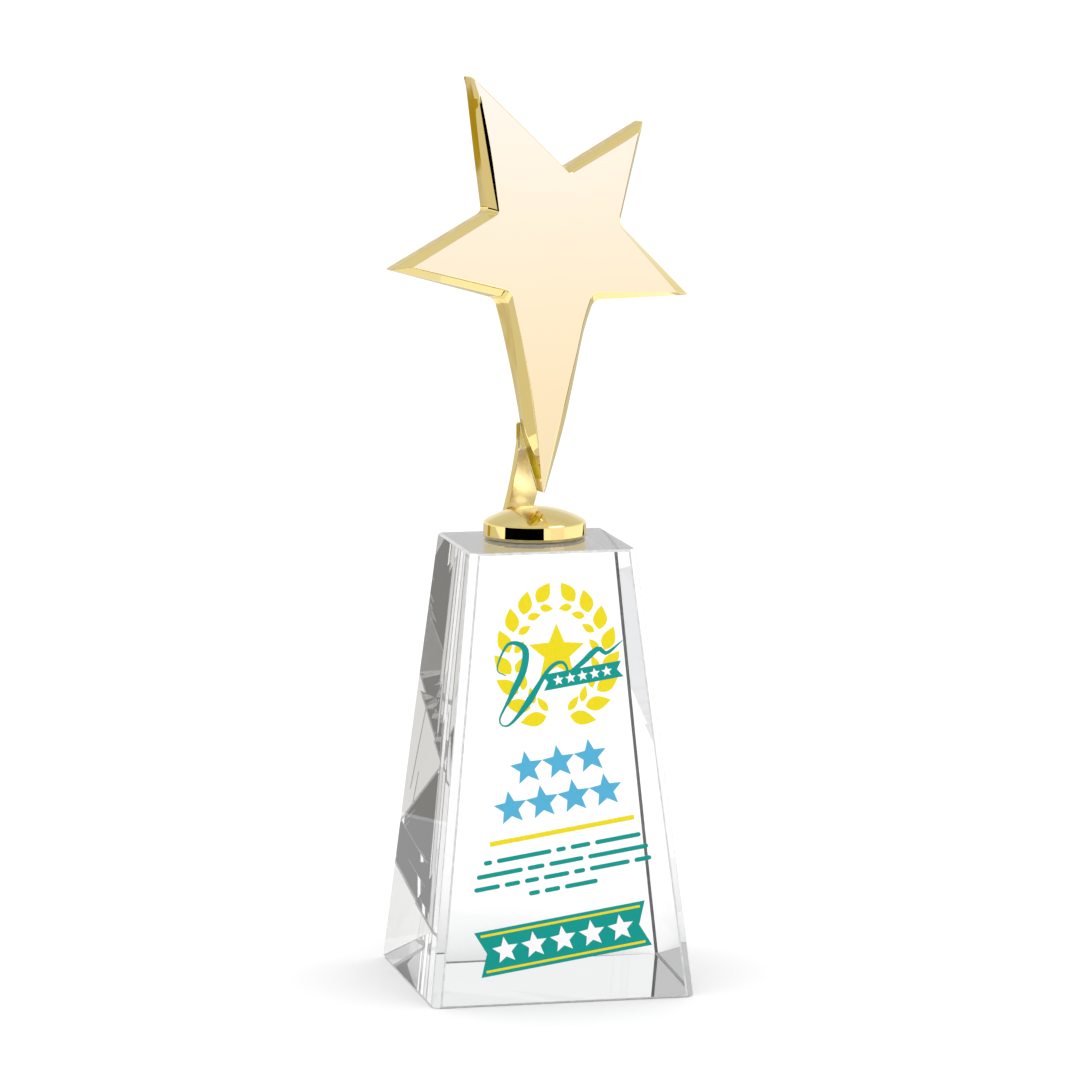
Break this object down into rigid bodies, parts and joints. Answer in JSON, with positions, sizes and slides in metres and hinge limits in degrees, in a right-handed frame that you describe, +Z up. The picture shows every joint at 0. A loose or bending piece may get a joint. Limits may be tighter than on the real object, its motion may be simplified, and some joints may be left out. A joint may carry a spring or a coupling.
{
  "type": "star trophy",
  "caption": "Free-standing award: a gold-plated bevelled star on a curved support and domed collar, glued to a tapering clear crystal pillar.",
  "frame": {"origin": "centre of the crystal's flat underside, on the surface the award stands on", "axes": "+Z up; the printed front of the crystal faces -Y; +X is to the right seen from the front"},
  "size_m": [0.1097, 0.087, 0.307],
  "materials": {
    "crystal": "clear optical crystal, ground and polished to a mirror finish",
    "clear_adhesive": "thin cured clear adhesive",
    "gold_plate": "mirror-polished gold plating on a cast metal body",
    "zinc_plated_steel": "bright zinc-plated steel",
    "yellow_ink": "yellow printed ink",
    "teal_ink": "teal printed ink",
    "blue_ink": "light blue printed ink",
    "white_ink": "white printed ink"
  },
  "bodies": {
    "root": {"crystal_base": "crystal", "adhesive_layer": "clear_adhesive", "bond_plate": "zinc_plated_steel", "dome_collar": "gold_plate", "foot_screw": "zinc_plated_steel", "foot_spring_washer": "zinc_plated_steel", "foot_flat_washer": "zinc_plated_steel", "support_strap": "gold_plate", "star": "gold_plate", "star_screw": "zinc_plated_steel", "star_pin": "zinc_plated_steel"}
  },
  "joints": []
}
